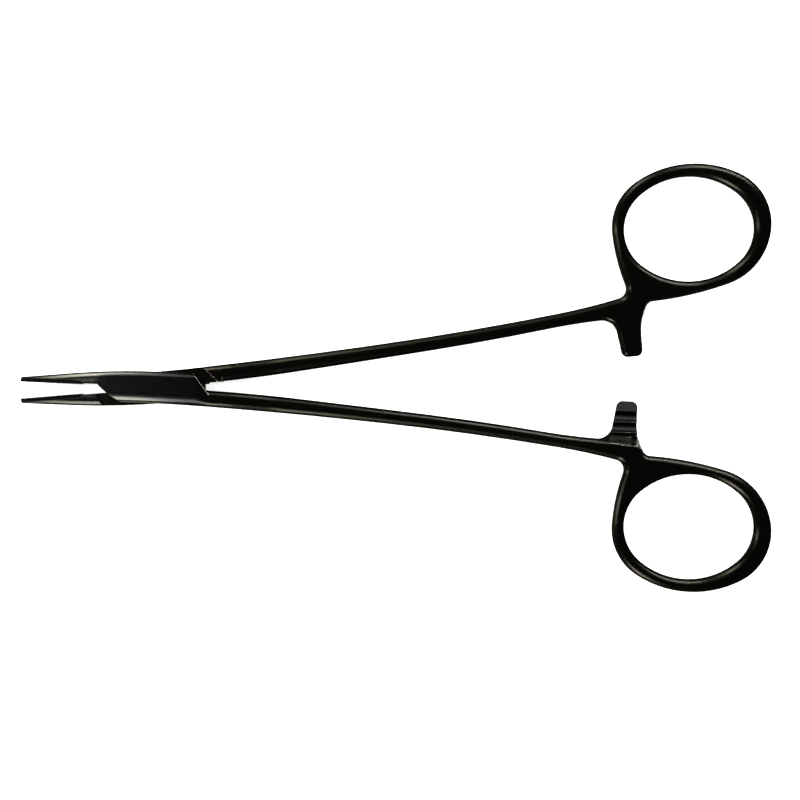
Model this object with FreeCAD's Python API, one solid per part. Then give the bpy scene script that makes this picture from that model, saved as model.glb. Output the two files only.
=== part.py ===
"""Surgical needle holder with a box lock, two finger rings and a ratchet, in millimetres.

It lies flat, slightly open. The origin is on the axis of the pivot, at the underside of the box.
+X runs along the closed instrument towards the finger rings, +Y to the upper ring, +Z up.
Each half is drawn closed, with its jaw on the +Y side and its shank on the -Y side. The half with
the tongue is then mirrored in Y, and both are turned to the angle at which the instrument lies.
"""
import FreeCAD, Part
import math
import os
from FreeCAD import Vector

# How far each half is turned from closed, and the play that is left between the closed grips
rest_turn = 3.43
grip_play = 0.03

# Forging: its thickness, and how it tapers from the box to the jaw's tip and down to the shank
box_thick = 4.8
jaw_tip_thick = 2.15
shank_thick = 3.4
box_front = -10.0
box_back = 11.0
jaw_bend = 3.0
neck_length = 14.0
neck_bend = 4.0
edge_round = 1.05
jaw_edge_round = 0.95

# Jaws: the outer edge is an arc from the box to this station and straight from there to the tip
jaw_length = 27.6
jaw_straight_x = -16.9
jaw_straight_width = 2.23
jaw_root_x = -12.0
tip_round = 0.3
relief = 0.2

# Gripping inserts, with a diamond hatch milled into the face
insert_length = 12.4
insert_thick = 0.8
hatch_pitch = 0.8
hatch_width = 0.56
hatch_depth = 0.2

# Box lock: the cheeks of one half, the tongue of the other between them
box_half_width = 3.2
cheek_thick = 1.5
cheek_top = (6.62, 3.6)
cheek_foot = (9.79, -0.42)
cheek_heel = (10.9, -1.83)
cheek_front = [(-12.02, relief), (-10.46, -1.23), (-8.91, -2.27), (-6.9, -3.3)]
tongue_play = 0.04
lock_radius = 9.6
lock_play = 0.1
inner_gap = 0.15
crotch_x = 10.25
shoulder_back = [(9.38, -3.3), (11.97, -0.38)]
shoulder_front = [(-12.67, relief), (-11.42, 2.33), (-10.9, 3.1)]

# Pivot: a rivet, peened into a countersink in each cheek
pin_radius = 1.6
pin_head_radius = 2.0
pin_head_depth = 0.45
pin_play = 0.05

# Grip: how far back from the pivot the ratchet arm stands, and how far out the shank has come there
grip_distance = 92.0
grip_spread = 8.0

# Shank: its edges run as arcs from the box to the grip. The places between are shares of that way,
# and the ends are given from the grip
outer_start = (10.0, -3.44)
outer_shares = [(0.412, 0.23), (0.824, 0.65)]
outer_end = (3.0, -3.3)
inner_start = (9.0, -inner_gap)
inner_shares = [(0.23, 0.14), (0.558, 0.477), (0.836, 0.856)]
inner_end = (-0.5, 1.45)
inner_heading = -1.1

# Finger ring: its centre from the grip, the oval opening, and the outer edge as arcs from a start
ring_back = 15.3
ring_out = 15.4
ring_hole_length = 26.1
ring_hole_width = 21.0
ring_hole_end_radius = 9.0
ring_hole_tilt = 1.6
ring_edge_start = (-11.86, 14.68)
ring_edge_heading = -114.6
ring_edge_radii = [39.4, 11.0, 20.9, 11.1, 13.0, 65.7]
ring_edge_turns = [22.5, 61.6, 60.2, 70.2, 64.7, 15.5]

# Ratchet arm: its corners from the grip, above the junction of shank and ring
junction = [(5.0, -4.5), (5.0, -0.6)]
arm_reach = 9.22
arm_width = 4.1
arm_left_foot = (-1.6, -1.5)
arm_right_bend = (arm_width, 4.8)
arm_right_foot = (6.6, -2.3)
arm_tip_round = 1.25
arm_inner_round = 3.0
arm_ring_round = 1.8
ring_neck_round = 2.0

# Ratchet: the land from the arm's tip to the first crest, the gap between the two bases when
# closed, and the run-out at the arm's foot, above the grip
tooth_count = 3
tooth_pitch = 2.12
tooth_height = 0.75
tooth_gap = 0.98
tip_land = 2.08
runout_height = 2.32
runout_length = 1.75
runout_turn = -5.1
runout_reach = 8.0
cutter_reach = 3.4

# The ring and the arm of the half with the tongue lie this much further back
tongue_grip_reach = 1.15

mid_z = box_thick / 2
jaw_face = grip_play / 2
insert_back = insert_length - jaw_length
jaw_foot = -box_half_width / 2
beyond_box = box_back + 2.0
before_box = jaw_root_x - 2.0
clear = 8.0
trim = 1.0
wide = 60.0
forward = 0
backward = 180


def points(pairs):
    return [Vector(x, y, 0) for x, y in pairs]


def path(pairs):
    return Part.makePolygon(points(pairs)).Edges


def curve(pairs):
    line = Part.BSplineCurve()
    line.interpolate(Points=points(pairs))
    return line.toShape()


def arcs_through(pairs, heading):
    """Arcs from point to point, each tangent to the one before, from a heading in degrees."""
    edges = []
    heading = math.radians(heading)
    for (x1, y1), (x2, y2) in zip(pairs, pairs[1:]):
        half_turn = (math.atan2(y2 - y1, x2 - x1) - heading + math.pi) % (2 * math.pi) - math.pi
        if abs(half_turn) < 1e-7:
            edges += path([(x1, y1), (x2, y2)])
        else:
            bulge = math.tan(half_turn / 2) / 2
            middle = ((x1 + x2) / 2 + (y2 - y1) * bulge, (y1 + y2) / 2 - (x2 - x1) * bulge)
            edges.append(Part.Arc(*points([(x1, y1), middle, (x2, y2)])).toShape())
        heading += 2 * half_turn
    return edges


def arcs_by_turn(start, heading, arcs):
    """The ends of arcs that run smoothly on, each with a radius and a turn to the left in degrees."""
    x, y = start
    heading = math.radians(heading)
    ends = [start]
    for radius, turn in arcs:
        centre_x = x - radius * math.sin(heading)
        centre_y = y + radius * math.cos(heading)
        heading += math.radians(turn)
        x = centre_x + radius * math.sin(heading)
        y = centre_y - radius * math.cos(heading)
        ends.append((x, y))
    return ends


def prism(edges, low=-clear, high=box_thick + clear):
    """An upright solid on a closed outline."""
    face = Part.Face(Part.Wire(Part.__sortEdges__(edges)))
    face.translate(Vector(0, 0, low))
    return face.extrude(Vector(0, 0, high - low))


def forging_blank(edges):
    return prism(edges, -trim, box_thick + trim)


def block(corners, low=-clear, high=box_thick + clear):
    return prism(path(corners + [corners[0]]), low, high)


def box_block(x1, x2, y1, y2, low=-clear, high=box_thick + clear):
    return block([(x1, y1), (x2, y1), (x2, y2), (x1, y2)], low, high)


def side_profile(reach):
    """The side view of a half, swept across it: thick at the box, slim at the shank and the tip."""
    top = box_thick / 2
    jaw_slope = (top - jaw_tip_thick / 2) / (jaw_length + box_front - jaw_bend / 2)
    bend = (box_front - jaw_bend, top - jaw_slope * jaw_bend / 2)
    tip = (-jaw_length, jaw_tip_thick / 2)
    low = shank_thick / 2
    drop = (top - low) / (neck_length - neck_bend) * neck_bend / 2
    neck_end = box_back + neck_length
    neck = [(box_back + neck_bend, top - drop), (neck_end - neck_bend, low + drop)]
    end = (grip_distance + reach + wide, low)
    edges = path([tip, bend]) + arcs_through([(box_front, top), bend], backward)
    edges += path([(box_front, top), (box_back, top)]) + arcs_through([(box_back, top), neck[0]], forward)
    edges += path(neck) + arcs_through([(neck_end, low), neck[1]], backward) + path([(neck_end, low), end])
    edges += [edge.mirror(Vector(), Vector(0, 1, 0)) for edge in edges]
    for x, height in (tip, end):
        edges += path([(x, height), (x, -height)])
    solid = prism(edges, -wide, wide)
    solid.rotate(Vector(), Vector(1, 0, 0), 90)
    solid.translate(Vector(0, 0, mid_z))
    return solid


def on_outline(edge):
    """True for an edge along the outline of the upper or lower face, not up a wall or straight across."""
    ends = [v.Point for v in edge.Vertexes]
    across = len(ends) == 2 and abs(ends[0].x - ends[1].x) < 1e-6
    heights = [p.z - mid_z for p in ends]
    return not across and min(heights) * max(heights) > 0


def round_outline(solid, radius, wanted):
    return solid.makeFillet(radius, [e for e in solid.Edges if on_outline(e) and wanted(e.CenterOfMass)])


def upright_edge(solid, x, y):
    """The upright edge that stands nearest to a point of the plan."""
    upright = [e for e in solid.Edges if len(e.Vertexes) == 2
               and e.Vertexes[0].Point.distanceToLine(e.Vertexes[1].Point, Vector(0, 0, 1)) < 1e-6]
    return min(upright, key=lambda e: math.hypot(e.CenterOfMass.x - x, e.CenterOfMass.y - y))


def jaw_side(profile):
    """The jaw and the box on the jaw's side, with rounded outer edges."""
    arc = [(0, box_half_width), (jaw_straight_x, jaw_straight_width)]
    slope = math.tan(2 * math.atan((jaw_straight_width - box_half_width) / jaw_straight_x))
    tip = (-jaw_length, jaw_straight_width - slope * (jaw_length + jaw_straight_x))
    foot = [(-jaw_length, jaw_foot), (beyond_box, jaw_foot), (beyond_box, box_half_width)]
    edges = arcs_through(arc, backward) + path([arc[1], tip] + foot + [arc[0]])
    solid = round_outline(forging_blank(edges).common(profile), jaw_edge_round, lambda p: p.y > 0)
    end = [e for e in solid.Edges if e.BoundBox.XMax < tip_round / 2 - jaw_length and e.BoundBox.YMax > 0]
    return solid.makeFillet(tip_round, end)


def from_grip(reach, pairs):
    """Points given from the grip, in the part's own frame. The grip can lie some reach further back."""
    return [(grip_distance + reach + x, y - grip_spread) for x, y in pairs]


def shank_edge(start, shares, end):
    """The stations of one edge of the shank, from its start at the box to its end at the grip."""
    (x1, y1), (x2, y2) = start, end
    return [start] + [(x1 + u * (x2 - x1), y1 + v * (y2 - y1)) for u, v in shares] + [end]


def finger_ring(centre):
    ends = arcs_by_turn(ring_edge_start, ring_edge_heading, zip(ring_edge_radii, ring_edge_turns))
    ring = forging_blank(arcs_through(ends, ring_edge_heading) + path([ends[-1], ends[0]]))
    ring.translate(Vector(*centre, 0))
    return ring


def ring_opening(centre):
    """An oval of small arcs at its ends and large ones along its sides."""
    a = ring_hole_length / 2
    b = ring_hole_width / 2
    small = ring_hole_end_radius
    large = ((a - small) ** 2 + b ** 2 - small ** 2) / (2 * (b - small))
    half_end = math.degrees(math.atan2(large - b, a - small))
    side = 180 - 2 * half_end
    arcs = [(small, half_end), (large, side), (small, 2 * half_end), (large, side), (small, half_end)]
    opening = prism(arcs_through(arcs_by_turn((a, 0), 90, arcs), 90))
    opening.rotate(Vector(), Vector(0, 0, 1), ring_hole_tilt)
    opening.translate(Vector(*centre, 0))
    return opening


def grip_side(reach, profile):
    """The box on the shank's side, the shank, the ratchet arm and the finger ring."""
    outer_tip, inner_tip, centre = from_grip(reach, [outer_end, inner_end, (ring_back, -ring_out)])
    outer = shank_edge(outer_start, outer_shares, outer_tip)
    inner = shank_edge(inner_start, inner_shares, inner_tip)
    corner = (-box_half_width, -box_half_width)
    edges = path([inner[0], (box_front, inner[0][1]), (box_front, corner[1]), corner])
    edges += arcs_through([corner] + outer, forward) + arcs_through(inner, inner_heading)
    edges += path([outer_tip] + from_grip(reach, junction) + [inner_tip])
    solid = forging_blank(edges).fuse(finger_ring(centre))

    left = from_grip(reach, [(0, arm_reach), arm_left_foot])
    right = from_grip(reach, [(arm_width, arm_reach), arm_right_bend, arm_right_foot])
    arm = path([right[0]] + left + [right[-1]]) + arcs_through(right, -90)
    solid = solid.fuse(forging_blank(arm)).removeSplitter()
    corners = [(inner_tip, arm_inner_round), (outer_tip, ring_neck_round), (right[-1], arm_ring_round),
               (left[0], arm_tip_round), (right[0], arm_tip_round)]
    for (x, y), radius in corners:
        solid = solid.makeFillet(radius, [upright_edge(solid, x, y)])
    solid = solid.cut(ring_opening(centre)).common(profile)
    return round_outline(solid, edge_round, lambda p: p.x > box_front)


def ratchet_cutter(reach):
    """What is milled away over the teeth, and a ramp that fades out in the shank's rounded edge."""
    base = mid_z - tooth_gap / 2
    crest = base + tooth_height
    above = box_thick + trim
    corners = [(0, arm_reach), (arm_width + cutter_reach, runout_height)]
    (left, tip_y), (right, foot_y) = from_grip(reach, corners)
    beyond = tip_y + trim
    y = tip_y - tip_land
    edges = path([(beyond, above), (beyond, base), (tip_y, base), (y, crest), (y, base)])
    for i in range(1, tooth_count):
        y -= tooth_pitch
        middle = (y + 0.4 * tooth_pitch, base + 0.27 * tooth_height)
        edges.append(Part.Arc(*points([(y + tooth_pitch, base), middle, (y, crest)])).toShape())
        edges += path([(y, crest), (y, base)])
    edges += path([(y, base), (foot_y, base), (foot_y, above), (beyond, above)])
    teeth = prism(edges, left - cutter_reach, right)

    length = runout_length * (above - base) / (mid_z + shank_thick / 2 - base)
    start = (foot_y + y) / 2
    runout = block([(start, base), (foot_y, base), (foot_y - length, above), (start, above)],
                   left - runout_reach, right)
    for cutter in (teeth, runout):
        cutter.rotate(Vector(), Vector(1, 1, 1), 120)
    runout.rotate(Vector(left, foot_y, 0), Vector(0, 0, 1), runout_turn)
    return teeth.fuse(runout)


def pivot_pin():
    """The rivet: a plain shank with a head peened into a countersink at each end."""
    outline = [(0, 0), (pin_head_radius, 0), (pin_radius, pin_head_depth),
               (pin_radius, box_thick - pin_head_depth),
               (pin_head_radius, box_thick), (0, box_thick), (0, 0)]
    face = Part.Face(Part.makePolygon([Vector(x, 0, z) for x, z in outline]))
    return face.revolve(Vector(), Vector(0, 0, 1), 360)


def box_half():
    """The half with the box: two cheeks with a slot between them for the other half's tongue."""
    profile = side_profile(0)
    back = block([cheek_top, cheek_foot, cheek_heel, (beyond_box, cheek_heel[1]), (beyond_box, clear),
                  (cheek_top[0], clear)])
    half = jaw_side(profile).cut(back).fuse(grip_side(0, profile))

    corner = cheek_front[-1]
    front = path([corner, (corner[0], -clear), (before_box, -clear), (before_box, relief), cheek_front[0]])
    half = half.cut(prism(front + [curve(cheek_front)]))
    low = cheek_thick
    high = box_thick - cheek_thick
    slot = Part.makeCylinder(lock_radius, high - low, Vector(0, 0, low))
    slot = slot.fuse(box_block(before_box, 0, -clear, relief, low, high))
    slot = slot.fuse(box_block(0, beyond_box, -inner_gap, clear, low, high))
    return half.cut(slot).cut(pivot_pin()).cut(ratchet_cutter(0))


def tongue_half():
    """The half with the tongue: it is thinned between two shoulders to pass through the box."""
    profile = side_profile(tongue_grip_reach)
    half = jaw_side(profile).fuse(grip_side(tongue_grip_reach, profile))
    disc = Part.makeCylinder(lock_radius - lock_play, box_thick + 2 * clear, Vector(0, 0, -clear))
    step = relief / 2
    beyond = block([(0, step), (crotch_x, step), (crotch_x, -inner_gap), (beyond_box, -inner_gap),
                    (beyond_box, clear), (0, clear)])
    before = box_block(before_box, 0, -clear, relief)
    half = half.cut(beyond.cut(disc)).cut(before.cut(disc))

    (front_x, front_y), top = shoulder_front[0], shoulder_front[-1]
    foot, (back_x, back_y) = shoulder_back
    zone = path([(front_x, front_y), (front_x, -clear), (foot[0], -clear), foot, (back_x, back_y),
                 (back_x, clear), (top[0], clear), top])
    zone.append(curve(shoulder_front))
    low = cheek_thick + tongue_play
    half = half.cut(prism(zone, -clear, low)).cut(prism(zone, box_thick - low, box_thick + clear))
    half = half.cut(Part.makeCylinder(pin_radius + pin_play, box_thick))
    return half.cut(ratchet_cutter(tongue_grip_reach).mirror(Vector(0, 0, mid_z), Vector(0, 0, 1)))


def hatch_grooves():
    """V-grooves that cross on the face of an insert at 45 degrees each way."""
    section = [(-0.1, -hatch_width / 2), (0, -hatch_width / 2), (hatch_depth, 0), (0, hatch_width / 2),
               (-0.1, hatch_width / 2)]
    reach = box_thick / 2
    grooves = []
    for turn in (45, -45):
        x = -jaw_length - reach
        while x < insert_back + reach:
            groove = block(section, -box_thick, box_thick)
            groove.rotate(Vector(), Vector(0, 0, 1), 90)
            groove.rotate(Vector(), Vector(0, 1, 0), turn)
            groove.translate(Vector(x, jaw_face, mid_z))
            grooves.append(groove)
            x += hatch_pitch * math.sqrt(2)
    return grooves


def seat_insert(half):
    """Cut the grip, its relief and the seat of the insert, and return the half and the insert."""
    front = -jaw_length - 1
    root = jaw_root_x - 0.02
    half = half.cut(box_block(front, insert_back, -clear, jaw_face))
    half = half.cut(box_block(insert_back, root, -clear, relief))
    seat = box_block(front, insert_back, -1, insert_thick)
    return half.cut(seat), half.common(seat).cut(hatch_grooves())


def write(name, shape, turn):
    shape.rotate(Vector(), Vector(0, 0, 1), turn)
    print(name, shape.isValid(), len(shape.Solids), round(shape.Volume, 2))
    shape.exportStep(f"parts/{name}.step")


os.makedirs("parts", exist_ok=True)
half, insert = seat_insert(box_half())
write("box_half", half, -rest_turn)
write("box_jaw_insert", insert, -rest_turn)
write("pivot_pin", pivot_pin(), -rest_turn)
half, insert = seat_insert(tongue_half())
write("tongue_half", half.mirror(Vector(), Vector(0, 1, 0)), rest_turn)
write("tongue_jaw_insert", insert.mirror(Vector(), Vector(0, 1, 0)), rest_turn)
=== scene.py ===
"""The looks of a coated surgical needle holder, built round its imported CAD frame, in metres."""
import bpy
import math
from mathutils import Matrix, Vector

mm = 0.001

# Camera: it looks straight down, and the photograph's frame is this wide at the part's upper faces
view_width = 160 * mm
view_centre = (48.35 * mm, -3.36 * mm)
view_tilt = math.radians(-1.03)
view_level = 3.4 * mm
view_reach = 10
lens = 110
sensor = 36

# Places on the part. Each half is turned by rest_slope, and its jaw side is +y on the box half
middle_level = 2.4 * mm
face_level = 2.4 * mm
face_fade = (0.14 * mm, 0.02 * mm)
box_front = -12 * mm
box_back = 11 * mm
box_half_width = 3.2 * mm
rest_slope = 0.06
tongue_jaw_end = box_front + 3 * mm
front_fade = 4 * mm
tongue_jaw_fade = 1 * mm
jaw_line_start = -16.9 * mm
jaw_line_slope = 0.115
jaw_arc = 294 * mm
# The jaw's root, next to the box, is painted in shade here
jaw_root = (box_front + 1.2 * mm, box_front - 0.3 * mm)
jaw_root_side = (1.2 * mm, 0.2 * mm)
pin_radius = 2 * mm
pin_fade = (0.35 * mm, 0.1 * mm)
lock_start = (3 * mm, 6 * mm)
lock_end = (16 * mm, 13 * mm)

# The ratchet arm: across is the distance from the line through the pin, towards the jaw side
arm_left = 90 * mm
arm_right = 98.5 * mm
arm_fade = 0.5 * mm
arm_start = (-9.5 * mm, -8.5 * mm)
milled_level = (0.9 * mm, 0.6 * mm)
milled_tilt = (0.3, 0.5)
crest_height = 0.22 * mm
# The tip land of the teeth is painted lighter, by this share
tip_start = (-1.2 * mm, -0.8 * mm)
tip_light = 0.7
teeth_end = (-1.1 * mm, -1.5 * mm)
teeth_rub = 0.25
# The ramp at the arm's foot, which is painted as a highlight, more on the box half
ramp_start = (-8.4 * mm, -8.1 * mm)
ramp_end = (-5.6 * mm, -5.9 * mm)
ramp_flattest = (0.97, 0.93)
ramp_steepest = (0.15, 0.25)
ramp_foot = -1 * mm
ramp_highlight_share = {1: 1.0, -1: 0.3}

# Forms that only the light shows: faces that fall away to their edges, and rounded edges
crown_side = (0.92 * mm, 1.04 * mm)
jaw_crown = (1.7 * mm, 0.4)
shank_crown = (2.3 * mm, 0.55)
shank_edge = box_half_width + 0.1 * mm
chamfer_share = 0.5
chamfer_tilt = (0.02, 0.35)
edge_radius = 0.15 * mm
shank_radius = 0.85 * mm
ring_radius = 0.3 * mm
shank_fade = 6 * mm
ring_fade = 4 * mm
rub_radius = 0.12 * mm
round_samples = 10
rub_samples = 6
insert_samples = 4
rub_turn = (0.01, 0.15)
rub_patches = (0.3, 0.6, 0.5, 1.0)

# Colours: a coated metal's reflectance, seen straight on unless it says otherwise
coating = (0.0092, 0.0090, 0.0077), (0.0124, 0.0119, 0.0099)
coating_edge_on = (0.125, 0.122, 0.10)
# Painted sheen along the jaws and box: the reflectance runs from dim to bright and back with x, and the
# tongue half's brightest is lower
dim_sheen = (0.004, 0.0039, 0.0037)
bright_sheen = {1: (0.047, 0.0465, 0.043), -1: (0.018, 0.018, 0.017)}
sheen_start = {1: -27 * mm, -1: -29 * mm}
sheen_rise = 12 * mm
sheen_end = (8 * mm, -9 * mm)
face_colour = (0.0085, 0.0092, 0.0110)
face_share = 0.95
# Painted shade: near black at the jaw's root
root_shade_colour = (0.0005, 0.0005, 0.0005)
# Painted highlight: a band along the box's shank-side edge
highlight_band_side = (2.2 * mm, 1.2 * mm)
highlight_band_length = (6 * mm, -8 * mm, 0.0, 0.45)
# Painted shade in the milled teeth: darkest in the grooves, a little lighter on the crests
milled_shade_colours = (0.003, 0.003, 0.003), (0.0040, 0.0041, 0.0042)
# Painted highlight on the ramp at the arm's foot
ramp_highlight_colour = (0.10, 0.105, 0.09)
# Pale bare steel where the coating rubs off at sharp edges, also painting highlight lines there
rubbed_and_glint_colour = (0.7, 0.67, 0.6)
rubbed_and_glint_share = 0.8
insert_colours = (0.0015, 0.0015, 0.0016), (0.0032, 0.0032, 0.0034)

# Noise: scales, and the stretch that turns it into strokes
even = (1, 1, 1)
broad_scale = 90
fine_scale = 900
brushed_scale = 7000
brushed_stretch = (0.05, 1, 1)
insert_fine_scale = 2500
ground_stretch = (1, 1, 0.08)
noise_detail = 3.0

# Roughness, as a base and what is added to it, and the grain of the brushed faces
coating_roughness = 0.17
fine_roughness = 0.07
brushed_roughness = 0.1
milled_roughness = 0.12
rubbed_roughness = 0.3
insert_roughness = (0.3, 0.16)
grain_strength = 0.1
grain_height = 0.02 * mm
grain_off_faces = 0.12
insert_grain_strength = 0.15
insert_grain_height = 0.01 * mm
insert_edge_radius = 0.04 * mm

# Edges sharper than this many degrees stay sharp in the shading
steel_crease = 28
insert_crease = 15

# Lamps: name, place, what it points at, size, power in watts, colour
middle = (0.05, 0, 0)
shanks = (0.1, 0, 0)
box = (-0.005, 0, 0)
rings = (0.108, 0, 0)
lamps = (
    ("ceiling", (0.05, 0.48, 0.50), middle, (1.0, 0.3), 0.6, (1.0, 0.94, 0.76)),
    ("window", (0.05, 0.55, 0.25), middle, (0.95, 0.2), 0.5, (1.0, 0.93, 0.78)),
    ("shank_strip", (0.32, 0.52, 0.50), shanks, (0.42, 0.06), 9.0, (0.94, 0.98, 1.0)),
    ("box_window", (-0.10, 0.42, 0.34), box, (0.12, 0.36), 2.4, (1.0, 0.97, 0.86)),
    ("box_fill", (-0.10, -0.42, 0.34), box, (0.12, 0.36), 3.6, (1.0, 0.97, 0.90)),
    ("left_strip", (-0.34, 0.05, 0.44), rings, (0.035, 0.5), 1.6, (1.0, 0.98, 0.92)),
)
world_colour = (0.62, 0.58, 0.5)
world_strength = 0.22
floor_colour = (0.8, 0.8, 0.8)
floor_roughness = 0.9
floor_glow = 0.88
floor_half_size = 1.5


def nodes_of(tree):
    tree.nodes.clear()
    return tree.nodes, tree.links


class Shader:
    """A material's node tree, with short calls to add nodes and join them."""

    def __init__(self, name):
        self.material = bpy.data.materials.new(name)
        self.material.use_nodes = True
        self.nodes, self.links = nodes_of(self.material.node_tree)
        output = self.nodes.new("ShaderNodeOutputMaterial")
        self.bsdf = self.nodes.new("ShaderNodeBsdfPrincipled")
        self.put(output.inputs["Surface"], self.bsdf.outputs[0])

    def put(self, socket, value):
        if isinstance(value, bpy.types.NodeSocket):
            self.links.new(value, socket)
        elif socket.type == "RGBA":
            socket.default_value = (*value, 1)
        else:
            socket.default_value = value

    def surface(self, **inputs):
        for key, value in inputs.items():
            self.put(self.bsdf.inputs[key.replace("_", " ")], value)

    def node(self, kind, settings=None, **inputs):
        node = self.nodes.new("ShaderNode" + kind)
        for key, value in (settings or {}).items():
            setattr(node, key, value)
        for key, value in inputs.items():
            self.put(node.inputs[key.replace("_", " ")], value)
        return node

    def filled(self, kind, settings, values):
        node = self.node(kind, settings)
        for socket, value in zip(node.inputs, values):
            self.put(socket, value)
        return node

    def math(self, operation, *values):
        return self.filled("Math", {"operation": operation}, values).outputs[0]

    def times(self, *factors):
        product = factors[0]
        for factor in factors[1:]:
            product = self.math("MULTIPLY", product, factor)
        return product

    def plus(self, a, b):
        return self.math("ADD", a, b)

    def minus(self, a, b):
        return self.math("SUBTRACT", a, b)

    def ramp(self, value, low, high, start=0.0, end=1.0):
        """A soft step from start, where the value is low, to end, where it is high."""
        values = (value, low, high, start, end)
        return self.filled("MapRange", {"interpolation_type": "SMOOTHSTEP"}, values).outputs[0]

    def blend(self, data_type, ending, factor, a, b):
        node = self.node("Mix", {"data_type": data_type})
        inputs = {socket.identifier: socket for socket in node.inputs}
        self.put(inputs["Factor_Float"], factor)
        self.put(inputs["A_" + ending], a)
        self.put(inputs["B_" + ending], b)
        return next(socket for socket in node.outputs if socket.identifier == "Result_" + ending)

    def mix(self, factor, a, b):
        return self.blend("RGBA", "Color", factor, a, b)

    def mix_normal(self, factor, a, b):
        return self.blend("VECTOR", "Vector", factor, a, b)

    def bevel(self, radius, samples):
        return self.node("Bevel", {"samples": samples}, Radius=radius).outputs[0]

    def noise(self, coordinates, stretch, scale):
        mapping = self.node("Mapping", Vector=coordinates, Scale=stretch)
        texture = self.node("TexNoise", Vector=mapping.outputs[0], Scale=scale, Detail=noise_detail)
        return texture.outputs["Fac"]


class Coating(Shader):
    """A hard black coating on steel given a polish: warm black, satin, a little uneven, paler where edges
    rub.
    Its colour also paints light: a sheen along the jaws and box, highlights along the box's shank-side edge,
    on the ramp at the arm's foot and on rubbing edges, and shade at the jaw's root and in the milled teeth.
    The side is 1 for the half with the box and -1 for the other one, whose painted sheen is dimmer."""

    def __init__(self, name, side):
        super().__init__(name)
        self.side = side
        self.has_box = side > 0
        self.jaw_end = box_back if self.has_box else tongue_jaw_end
        place = self.node("TexCoord").outputs["Object"]
        self.broad = self.noise(place, even, broad_scale)
        self.fine = self.noise(place, even, fine_scale)
        self.brushed = self.noise(place, brushed_stretch, brushed_scale)
        self.x, self.y, self.z = self.node("SeparateXYZ", Vector=place).outputs
        self.true_normal = self.node("NewGeometry").outputs["True Normal"]
        self.upright = self.math("ABSOLUTE", self.node("SeparateXYZ", Vector=self.true_normal).outputs["Z"])
        self.find_places()
        self.find_arm()
        self.find_edges()
        self.find_rubbed_and_glint()
        self.surface(Metallic=1.0, Specular_Tint=coating_edge_on, Base_Color=self.colour(),
                     Roughness=self.roughness(), Normal=self.normal())

    def find_places(self):
        self.across = self.plus(self.times(self.y, self.side), self.times(self.x, rest_slope))
        self.level = self.math("ABSOLUTE", self.minus(self.z, middle_level))
        face = self.ramp(self.level, *(face_level - depth for depth in face_fade))
        self.at_front = self.ramp(self.x, self.jaw_end, self.jaw_end - front_fade)
        self.on_face = self.times(face, self.at_front)
        fade = front_fade if self.has_box else tongue_jaw_fade
        self.on_jaw = self.ramp(self.x, self.jaw_end, self.jaw_end - fade)
        from_pin = self.node("VectorMath", {"operation": "LENGTH"},
                             Vector=self.node("CombineXYZ", X=self.x, Y=self.y).outputs[0])
        near_pin = self.ramp(from_pin.outputs["Value"], *(pin_radius + depth for depth in pin_fade))
        self.at_pin = self.times(near_pin, face)
        self.at_lock = self.times(self.ramp(self.x, *lock_start), self.ramp(self.x, *lock_end))

    def find_arm(self):
        """The ratchet arm, its milled teeth with painted shade in the grooves and lighter crests and tip
        land, and the ramp at the arm's foot, painted as a highlight.
        """
        self.on_arm = self.times(self.ramp(self.x, arm_left, arm_left + arm_fade),
                                 self.ramp(self.x, arm_right, arm_right - arm_fade),
                                 self.ramp(self.across, *arm_start))
        self.milled = self.times(self.on_arm, self.ramp(self.level, *milled_level),
                                 self.ramp(self.upright, *milled_tilt))
        raised = self.times(self.minus(self.z, middle_level), self.side)
        self.lit_crests = self.math("MAXIMUM", self.ramp(raised, 0.0, crest_height),
                              self.ramp(self.across, *tip_start, 0.0, tip_light))
        self.on_ramp = self.times(self.ramp(self.across, *ramp_start), self.ramp(self.across, *ramp_end),
                                  self.on_arm, self.ramp(self.upright, *ramp_flattest),
                                  self.ramp(self.upright, *ramp_steepest), self.ramp(raised, ramp_foot, 0.0))

    def find_edges(self):
        """How far a place is from the jaw's back edge and from the shank's edge."""
        start = self.math("MINIMUM", self.math("MAXIMUM", self.x, jaw_line_start), 0.0)
        edge = self.minus(box_half_width, self.math("DIVIDE", self.times(start, start), jaw_arc))
        beyond = self.math("MINIMUM", self.minus(self.x, jaw_line_start), 0.0)
        edge = self.plus(edge, self.times(beyond, jaw_line_slope))
        self.to_jaw_edge = self.minus(edge, self.across)
        self.to_shank_edge = self.plus(self.across, shank_edge)

    def find_rubbed_and_glint(self):
        """Sharp edges at the lock and on the teeth, where the coating rubs off to bare steel, whose pale
        colour also paints highlight lines along them.
        """
        turned = self.filled("VectorMath", {"operation": "DOT_PRODUCT"},
                             (self.bevel(rub_radius, rub_samples), self.true_normal))
        at_edge = self.ramp(self.minus(1.0, turned.outputs["Value"]), *rub_turn)
        at_teeth = self.times(self.on_arm, self.ramp(self.across, *teeth_end, 0.0, teeth_rub))
        self.rubbed_and_glint = self.times(at_edge, self.ramp(self.broad, *rub_patches), self.minus(1.0, self.at_pin),
                                 self.math("MAXIMUM", self.at_lock, at_teeth))

    def colour(self):
        brightest = bright_sheen[self.side]
        sheen_from = sheen_start[self.side]
        # Painted sheen: brightest near the box's front, fading towards the jaw tip and towards the box's back
        shine = self.times(self.ramp(self.x, *sheen_end), self.ramp(self.x, sheen_from, sheen_from + sheen_rise))
        colour = self.mix(self.broad, *coating)
        colour = self.mix(self.at_front, colour, self.mix(shine, dim_sheen, brightest))
        colour = self.mix(self.times(self.on_face, face_share), colour, face_colour)
        if self.has_box:
            # Painted shade at the jaw's root, where it meets the box
            root = self.times(self.ramp(self.x, *jaw_root), self.ramp(self.across, *jaw_root_side))
            colour = self.mix(root, colour, root_shade_colour)
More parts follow.
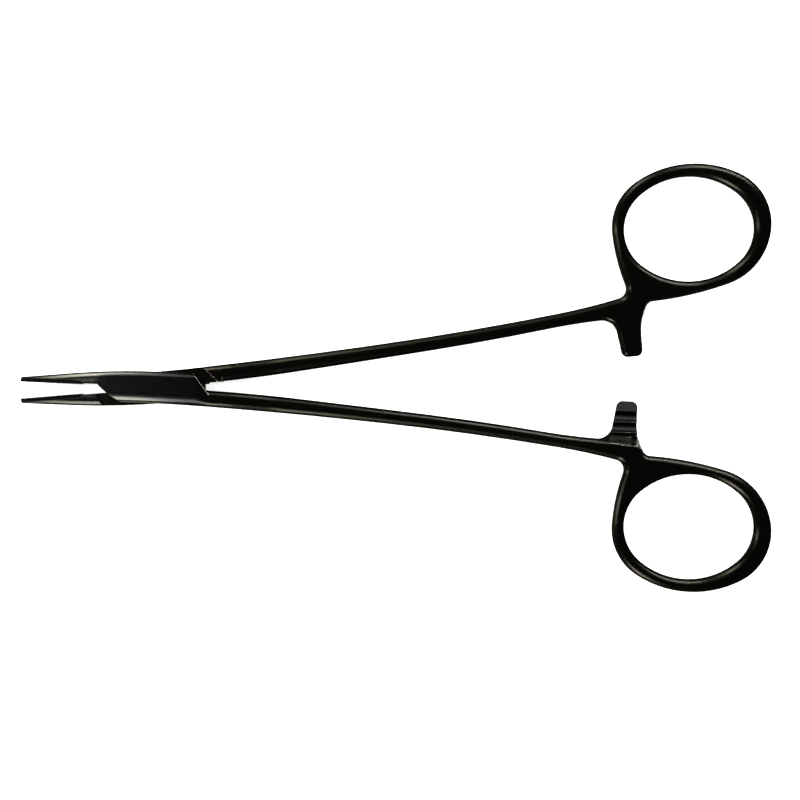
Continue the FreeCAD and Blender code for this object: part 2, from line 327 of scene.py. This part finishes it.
            # Painted highlight band along the box's shank-side edge
            band = self.times(self.ramp(self.to_shank_edge, *highlight_band_side), self.ramp(self.x, *highlight_band_length),
                              self.minus(1.0, root), self.at_front)
            colour = self.mix(band, colour, brightest)
        # Painted shade in the milled teeth, darkest in the grooves; crests and tip land painted lighter
        colour = self.mix(self.milled, colour, self.mix(self.lit_crests, *milled_shade_colours))
        # Painted highlight on the ramp at the arm's foot
        colour = self.mix(self.times(self.on_ramp, ramp_highlight_share[self.side]), colour, ramp_highlight_colour)
        # Bare steel where the coating rubs off at sharp edges, also painting highlight lines along them
        return self.mix(self.times(self.rubbed_and_glint, rubbed_and_glint_share), colour, rubbed_and_glint_colour)

    def roughness(self):
        rough = self.plus(self.times(self.fine, fine_roughness), coating_roughness)
        rough = self.plus(rough, self.times(self.on_face, self.brushed, brushed_roughness))
        return self.plus(rough, self.math("MAXIMUM", self.times(self.milled, milled_roughness),
                                          self.times(self.rubbed_and_glint, rubbed_roughness)))

    def crown(self, depth, width, slope):
        """The height of a face that falls away towards an edge, from a width in, to a slope there."""
        into = self.math("MAXIMUM", self.minus(width, depth), 0.0)
        return self.times(into, into, -slope / (2 * width))

    def normal(self):
        slim = self.times(self.ramp(self.x, box_back, box_back + shank_fade), self.minus(1.0, self.on_arm))
        on_ring = self.ramp(self.x, arm_right, arm_right + ring_fade)
        radius = self.plus(edge_radius, self.times(slim, shank_radius))
        radius = self.plus(radius, self.times(on_ring, ring_radius))
        rounded = self.mix_normal(self.at_pin, self.bevel(radius, round_samples), self.true_normal)
        upward = self.node("CombineXYZ", Z=self.math("SIGN", self.minus(self.z, middle_level))).outputs[0]
        chamfer = self.times(self.on_jaw, self.ramp(self.upright, *chamfer_tilt), chamfer_share)
        rounded = self.mix_normal(chamfer, rounded, upward)
        height = self.crown(self.to_jaw_edge, *jaw_crown)
        if self.has_box:
            height = self.plus(height, self.crown(self.to_shank_edge, *shank_crown))
        crowned = self.node("Bump", Strength=1.0, Distance=1.0, Height=height, Normal=rounded).outputs[0]
        on_crown = self.times(self.on_jaw, self.ramp(self.level, *crown_side))
        crowned = self.mix_normal(on_crown, rounded, crowned)
        grain = self.times(self.brushed, self.plus(grain_off_faces, self.on_face))
        bump = self.node("Bump", Strength=grain_strength, Distance=grain_height, Height=grain, Normal=crowned)
        return bump.outputs[0]


def hatched_insert():
    """The gripping insert: ground and black, with softened edges on its hatch."""
    s = Shader("grip_insert")
    place = s.node("TexCoord").outputs["Object"]
    fine = s.noise(place, even, insert_fine_scale)
    ground = s.noise(place, ground_stretch, brushed_scale)
    base, spread = insert_roughness
    bump = s.node("Bump", Strength=insert_grain_strength, Distance=insert_grain_height, Height=ground,
                  Normal=s.bevel(insert_edge_radius, insert_samples))
    s.surface(Metallic=1.0, Base_Color=s.mix(fine, *insert_colours),
              Roughness=s.plus(s.times(ground, spread), base), Normal=bump.outputs[0])
    return s.material


def white_floor():
    """A white table that keeps the object's soft shadow."""
    s = Shader("white_floor")
    rays = s.node("LightPath").outputs
    seen = s.math("MAXIMUM", rays["Is Glossy Ray"], rays["Is Transmission Ray"])
    seen = s.math("MAXIMUM", rays["Is Camera Ray"], seen)
    s.surface(Base_Color=floor_colour, Roughness=floor_roughness, Emission_Color=(1, 1, 1),
              Emission_Strength=s.times(seen, floor_glow))
    return s.material


def smooth(node, angle):
    """Smooth shading, with sharp edges kept and flat faces kept even."""
    mesh = node.data
    mesh.polygons.foreach_set("use_smooth", [True] * len(mesh.polygons))
    mesh.set_sharp_from_angle(angle=math.radians(angle))
    mesh.update()
    flats = node.modifiers.new("flat_faces", "WEIGHTED_NORMAL")
    flats.keep_sharp = True


def dress(node, material, crease):
    smooth(node, crease)
    node.data.materials.clear()
    node.data.materials.append(material)


def add_lamp(name, place, target, size, power, colour):
    lamp = bpy.data.lights.new(name, "AREA")
    lamp.shape = "RECTANGLE"
    lamp.size, lamp.size_y = size
    lamp.energy = power
    lamp.color = colour
    holder = bpy.data.objects.new(name, lamp)
    bpy.context.scene.collection.objects.link(holder)
    holder.location = place
    holder.rotation_euler = (Vector(target) - Vector(place)).to_track_quat("-Z", "Y").to_euler()


def light_world():
    world = bpy.data.worlds.new("studio")
    bpy.context.scene.world = world
    world.use_nodes = True
    nodes, links = nodes_of(world.node_tree)
    background = nodes.new("ShaderNodeBackground")
    background.inputs["Color"].default_value = (*world_colour, 1)
    background.inputs["Strength"].default_value = world_strength
    output = nodes.new("ShaderNodeOutputWorld")
    links.new(background.outputs[0], output.inputs["Surface"])


def add_camera():
    data = bpy.data.cameras.new("camera")
    camera = bpy.data.objects.new("camera", data)
    bpy.context.scene.collection.objects.link(camera)
    data.lens = lens
    data.sensor_width = sensor
    data.clip_end = view_reach
    height = view_width * lens / sensor
    turn = Matrix.Rotation(view_tilt, 4, "Z")
    camera.matrix_world = Matrix.Translation((*view_centre, view_level + height)) @ turn
    bpy.context.scene.camera = camera


def add_floor(material):
    size = floor_half_size
    mesh = bpy.data.meshes.new("floor")
    corners = [(-size, -size, 0), (size, -size, 0), (size, size, 0), (-size, size, 0)]
    mesh.from_pydata(corners, [], [(0, 1, 2, 3)])
    floor = bpy.data.objects.new("floor", mesh)
    bpy.context.scene.collection.objects.link(floor)
    mesh.materials.append(material)


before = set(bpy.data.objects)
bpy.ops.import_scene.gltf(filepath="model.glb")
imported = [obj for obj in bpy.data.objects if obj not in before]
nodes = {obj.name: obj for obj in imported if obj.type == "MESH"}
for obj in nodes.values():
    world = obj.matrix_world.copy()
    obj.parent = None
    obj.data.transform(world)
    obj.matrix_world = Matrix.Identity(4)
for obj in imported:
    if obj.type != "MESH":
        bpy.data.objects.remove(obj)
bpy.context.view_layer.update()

add_camera()
add_floor(white_floor())
light_world()
for lamp in lamps:
    add_lamp(*lamp)

# Two copies of the coating: the tongue half's painted sheen and ramp highlight are dimmer, and only the box
# half has the painted shade at the jaw's root and the painted highlight band
box_steel = Coating("black_coated_steel", 1).material
tongue_steel = Coating("black_coated_steel_tongue", -1).material
insert = hatched_insert()
dress(nodes["box_half"], box_steel, steel_crease)
dress(nodes["tongue_half"], tongue_steel, steel_crease)
dress(nodes["pivot_pin"], box_steel, steel_crease)
dress(nodes["box_jaw_insert"], insert, insert_crease)
dress(nodes["tongue_jaw_insert"], insert, insert_crease)

bpy.context.scene.view_settings.view_transform = "Standard"
